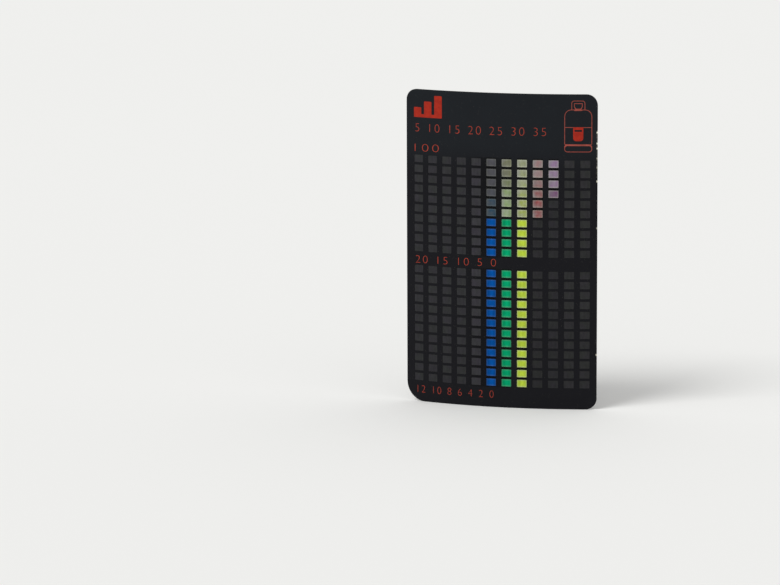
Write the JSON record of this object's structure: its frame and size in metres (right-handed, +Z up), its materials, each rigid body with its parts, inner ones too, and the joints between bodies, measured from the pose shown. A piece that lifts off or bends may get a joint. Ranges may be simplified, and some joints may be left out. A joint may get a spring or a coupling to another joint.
{
  "type": "gas bottle level indicator",
  "caption": "Flexible magnetic card, curved to cling to a gas bottle, with windowed liquid-crystal columns that change colour at the level of the gas.",
  "frame": {"origin": "on the back face of the magnetic sheet, across the card in the middle of the cells and half way up the card", "axes": "+Z up the bottle, -Y out of the printed face, +Y into the bottle wall, +X to the right of someone who reads the card"},
  "size_m": [0.0896, 0.0075, 0.1446],
  "materials": {
    "magnetic_rubber": "matt",
    "backing_film": "matt",
    "crystal_idle": "satin",
    "crystal_blue": "satin",
    "crystal_green": "satin",
    "crystal_lime": "satin",
    "black_film": "satin",
    "red_ink": "satin"
  },
  "bodies": {
    "root": {"magnetic_sheet": "magnetic_rubber", "backing_film": "backing_film", "crystal_strip_01": "crystal_idle", "crystal_strip_02": "crystal_idle", "crystal_strip_03": "crystal_idle", "crystal_strip_04": "crystal_idle", "crystal_strip_05": "crystal_idle", "crystal_strip_06": "crystal_blue", "crystal_strip_07": "crystal_green", "crystal_strip_08": "crystal_lime", "crystal_strip_09": "crystal_idle", "crystal_strip_10": "crystal_idle", "crystal_strip_11": "crystal_idle", "crystal_strip_12": "crystal_idle", "face_film": "black_film", "corner_mark": "red_ink", "bottle_sign": "red_ink"}
  },
  "joints": []
}
